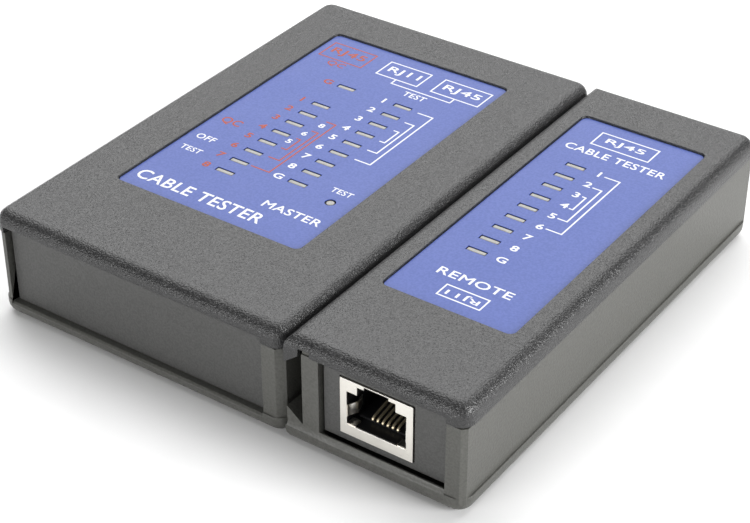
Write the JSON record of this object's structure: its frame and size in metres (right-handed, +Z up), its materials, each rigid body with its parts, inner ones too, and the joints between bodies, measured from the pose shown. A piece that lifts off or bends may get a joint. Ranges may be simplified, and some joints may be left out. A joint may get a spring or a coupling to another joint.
{
  "type": "network cable tester",
  "caption": "Hand-held cable tester: a master unit with lamp columns and sockets, and a remote unit that slides on to its side",
  "frame": {"origin": "middle of the footprint, on the surface the tester lies on", "axes": "+X from the master unit to the remote unit, +Y from the near end to the far end of the label's text, +Z up out of the label"},
  "size_m": [0.1036, 0.105, 0.0225],
  "materials": {
    "cover_plastic": "fine spark texture",
    "base_plastic": "smooth moulded",
    "panel_plastic": "smooth moulded",
    "printed_label": "satin film printed from behind",
    "circuit_board": "solder mask",
    "lamp_plastic": "diffusing",
    "switch_metal": "plated",
    "switch_plastic": "moulded",
    "battery_case": "printed jacket",
    "snap_plastic": "moulded",
    "red_insulation": "extruded",
    "black_insulation": "extruded",
    "chip_plastic": "moulded",
    "capacitor_sleeve": "shrunk sleeve",
    "socket_plastic": "moulded",
    "socket_shield": "nickel plated",
    "contact_metal": "gold plated",
    "screw_steel": "zinc plated"
  },
  "bodies": {
    "master": {"master_base": "base_plastic", "master_cover": "cover_plastic", "master_label": "printed_label", "master_near_panel": "panel_plastic", "master_far_panel": "panel_plastic", "master_board": "circuit_board", "check_result_lamp": "lamp_plastic", "check_lamp_strip": "lamp_plastic", "test_lamp_strip": "lamp_plastic", "test_round_lamp": "lamp_plastic", "switch_frame": "switch_metal", "battery": "battery_case", "battery_snap": "snap_plastic", "battery_lead_positive": "red_insulation", "battery_lead_negative": "black_insulation", "counter_chip": "chip_plastic", "clock_chip": "chip_plastic", "timing_capacitor": "capacitor_sleeve", "check_socket_housing": "socket_plastic", "check_socket_shield": "socket_shield", "check_socket_contacts": "contact_metal", "phone_socket_housing": "socket_plastic", "phone_socket_shield": "socket_shield", "phone_socket_contacts": "contact_metal", "network_socket_housing": "socket_plastic", "network_socket_shield": "socket_shield", "network_socket_contacts": "contact_metal", "master_screw_1": "screw_steel", "master_screw_2": "screw_steel", "master_screw_3": "screw_steel", "master_screw_4": "screw_steel"},
    "remote": {"remote_base": "base_plastic", "remote_cover": "cover_plastic", "remote_label": "printed_label", "remote_near_panel": "panel_plastic", "remote_far_panel": "panel_plastic", "remote_board": "circuit_board", "remote_lamp_strip": "lamp_plastic", "remote_phone_socket_housing": "socket_plastic", "remote_phone_socket_shield": "socket_shield", "remote_phone_socket_contacts": "contact_metal", "remote_network_socket_housing": "socket_plastic", "remote_network_socket_shield": "socket_shield", "remote_network_socket_contacts": "contact_metal", "remote_screw_1": "screw_steel", "remote_screw_2": "screw_steel", "remote_screw_3": "screw_steel", "remote_screw_4": "screw_steel"},
    "switch_slider": {"switch_slider": "switch_plastic"},
    "battery_door": {"battery_door": "base_plastic"}
  },
  "joints": [
    {"name": "remote_slide", "type": "slide", "parent": "master", "child": "remote", "axis": [0, 1, 0], "range_m": [0, 0.11]},
    {"name": "switch_slide", "type": "slide", "parent": "master", "child": "switch_slider", "axis": [0, 1, 0], "range_m": [-0.004, 0.004]},
    {"name": "battery_door_tilt", "type": "hinge", "parent": "master", "child": "battery_door", "pos_m": [-0.04675, -0.0349, 0], "axis": [0, 1, 0], "range_deg": [0, 75]}
  ]
}
